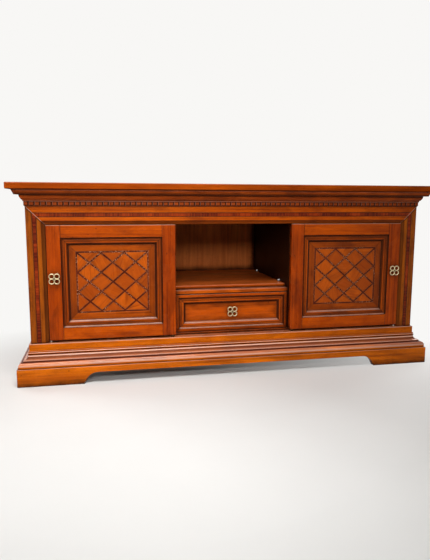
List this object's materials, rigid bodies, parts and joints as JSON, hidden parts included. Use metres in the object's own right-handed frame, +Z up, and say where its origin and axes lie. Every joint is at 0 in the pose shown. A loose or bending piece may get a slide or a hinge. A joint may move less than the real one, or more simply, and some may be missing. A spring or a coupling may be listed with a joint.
{
  "type": "tv cabinet",
  "caption": "Low wooden media cabinet with marquetry doors on pivots, an open bay with a shelf, a drawer, dentil cornice and moulded base on bracket feet.",
  "frame": {"origin": "on the floor, under the middle of the top board", "axes": "+Z up, -Y towards the viewer who faces the doors, +X to that viewer's right"},
  "size_m": [1.576, 0.6, 0.7],
  "materials": {
    "case_wood": "gloss",
    "band_wood": "gloss",
    "door_wood": "gloss",
    "dark_veneer": "gloss",
    "light_veneer": "gloss",
    "inside_wood": "satin",
    "antique_metal": "satin",
    "steel": "satin",
    "white_plastic": "satin"
  },
  "bodies": {
    "cabinet": {"top_board": "case_wood", "cornice_front": "case_wood", "cornice_left": "case_wood", "cornice_right": "case_wood", "dentil_strips": "case_wood", "frame_head": "band_wood", "frame_stile_left": "band_wood", "frame_stile_right": "band_wood", "frame_inlay": "dark_veneer", "side_left": "case_wood", "side_right": "case_wood", "partition_left": "inside_wood", "partition_right": "inside_wood", "bottom_board": "case_wood", "ceiling_board": "inside_wood", "top_rails": "inside_wood", "back_panel": "inside_wood", "bay_shelf": "case_wood", "shelf_rail": "case_wood", "bay_cleats": "inside_wood", "side_shelf_left": "inside_wood", "side_shelf_right": "inside_wood", "shelf_pins": "steel", "base_mould_front": "band_wood", "base_mould_left": "band_wood", "base_mould_right": "band_wood", "plinth_front": "band_wood", "plinth_left": "band_wood", "plinth_right": "band_wood", "plinth_back": "inside_wood", "base_rails": "inside_wood", "foot_blocks": "inside_wood", "pivot_washers": "antique_metal", "door_rests": "white_plastic", "door_catches": "steel", "drawer_runners": "inside_wood", "drawer_stops": "inside_wood"},
    "door_left": {"door_left_stiles": "door_wood", "door_left_rails": "door_wood", "door_left_moulding": "band_wood", "door_left_panel": "door_wood", "door_left_veneers": "light_veneer", "door_left_lattice": "dark_veneer", "door_left_knob": "antique_metal", "door_left_fittings": "steel"},
    "door_right": {"door_right_stiles": "door_wood", "door_right_rails": "door_wood", "door_right_moulding": "band_wood", "door_right_panel": "door_wood", "door_right_veneers": "light_veneer", "door_right_lattice": "dark_veneer", "door_right_knob": "antique_metal", "door_right_fittings": "steel"},
    "drawer": {"drawer_frame": "door_wood", "drawer_moulding": "band_wood", "drawer_panel": "door_wood", "drawer_knob": "antique_metal", "drawer_box": "inside_wood", "drawer_bottom": "inside_wood"}
  },
  "joints": [
    {"name": "door_left_hinge", "type": "hinge", "parent": "cabinet", "child": "door_left", "pos_m": [-0.233, -0.234, 0.35], "axis": [0, 0, 1], "range_deg": [0, 90]},
    {"name": "door_right_hinge", "type": "hinge", "parent": "cabinet", "child": "door_right", "pos_m": [0.233, -0.234, 0.35], "axis": [0, 0, -1], "range_deg": [0, 90]},
    {"name": "drawer_slide", "type": "slide", "parent": "cabinet", "child": "drawer", "axis": [0, -1, 0], "range_m": [0, 0.3]}
  ]
}
